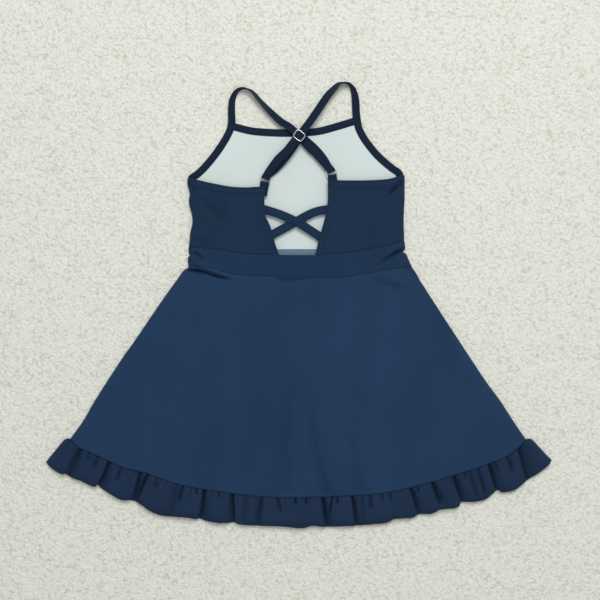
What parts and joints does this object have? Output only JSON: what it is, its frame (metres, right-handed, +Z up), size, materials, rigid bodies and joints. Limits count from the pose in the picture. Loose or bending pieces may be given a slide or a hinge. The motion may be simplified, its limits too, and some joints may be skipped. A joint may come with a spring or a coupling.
{
  "type": "cheer uniform",
  "caption": "Child's sleeveless cheer dress laid on its front: lined bodice with an open back, crossed elastic straps with sliders, waistband, flared skirt and gathered ruffle.",
  "frame": {"origin": "under the middle of the whole dress's bounding box, on the surface it lies on", "axes": "+X to the right across the dress seen from its back, +Y from hem to shoulders, +Z up from the front, which lies down, to the back"},
  "size_m": [0.6312, 0.5538, 0.0151],
  "materials": {
    "skirt_fabric": "matt navy knit",
    "bodice_fabric": "matt navy knit",
    "ruffle_fabric": "matt navy knit, gathered",
    "trim": "dark navy binding",
    "strap_elastic": "ribbed dark navy elastic",
    "lining": "matt white knit",
    "facing": "matt grey-blue",
    "metal": "bright nickel wire"
  },
  "bodies": {
    "garment": {"front_bodice_outer": "bodice_fabric", "front_bodice_lining": "lining", "front_neck_binding": "trim", "front_armhole_binding_left": "trim", "front_armhole_binding_right": "trim", "back_bodice_left": "bodice_fabric", "back_bodice_right": "bodice_fabric", "back_lining_left": "lining", "back_lining_right": "lining", "back_top_binding_left": "trim", "back_top_binding_right": "trim", "keyhole_binding_left": "trim", "keyhole_binding_right": "trim", "cross_strap_over": "trim", "cross_strap_under": "trim", "shoulder_strap_left": "strap_elastic", "strap_return_left": "strap_elastic", "tab_right": "trim", "shoulder_strap_right": "strap_elastic", "strap_return_right": "strap_elastic", "tab_left": "trim", "waistband_front": "bodice_fabric", "waistband_facing_front": "facing", "waistband_back": "bodice_fabric", "waistband_facing_back": "facing", "skirt_front": "skirt_fabric", "skirt_back": "skirt_fabric", "ruffle_front": "ruffle_fabric", "ruffle_back": "ruffle_fabric"},
    "slider_left": {"slider_left": "metal"},
    "slider_right": {"slider_right": "metal"},
    "ring_left": {"ring_left": "metal"},
    "ring_right": {"ring_right": "metal"}
  },
  "joints": [
    {"name": "slider_left_slide", "type": "slide", "parent": "garment", "child": "slider_left", "axis": [0.6608, -0.7506, 0], "range_m": [-0.003, 0.025], "deforming": ["strap_return_left"]},
    {"name": "slider_right_slide", "type": "slide", "parent": "garment", "child": "slider_right", "axis": [-0.6108, -0.7918, 0], "range_m": [-0.018, 0.025], "deforming": ["strap_return_right"]},
    {"name": "ring_left_hinge", "type": "hinge", "parent": "garment", "child": "ring_left", "pos_m": [-0.0425, 0.15315, 0.0065], "axis": [0.9848, -0.1736, 0], "range_deg": [-25, 25], "deforming": ["strap_return_right"]},
    {"name": "ring_right_hinge", "type": "hinge", "parent": "garment", "child": "ring_right", "pos_m": [0.0415, 0.16165, 0.0065], "axis": [0.9848, 0.1736, 0], "range_deg": [-25, 25], "deforming": ["strap_return_left"]}
  ]
}
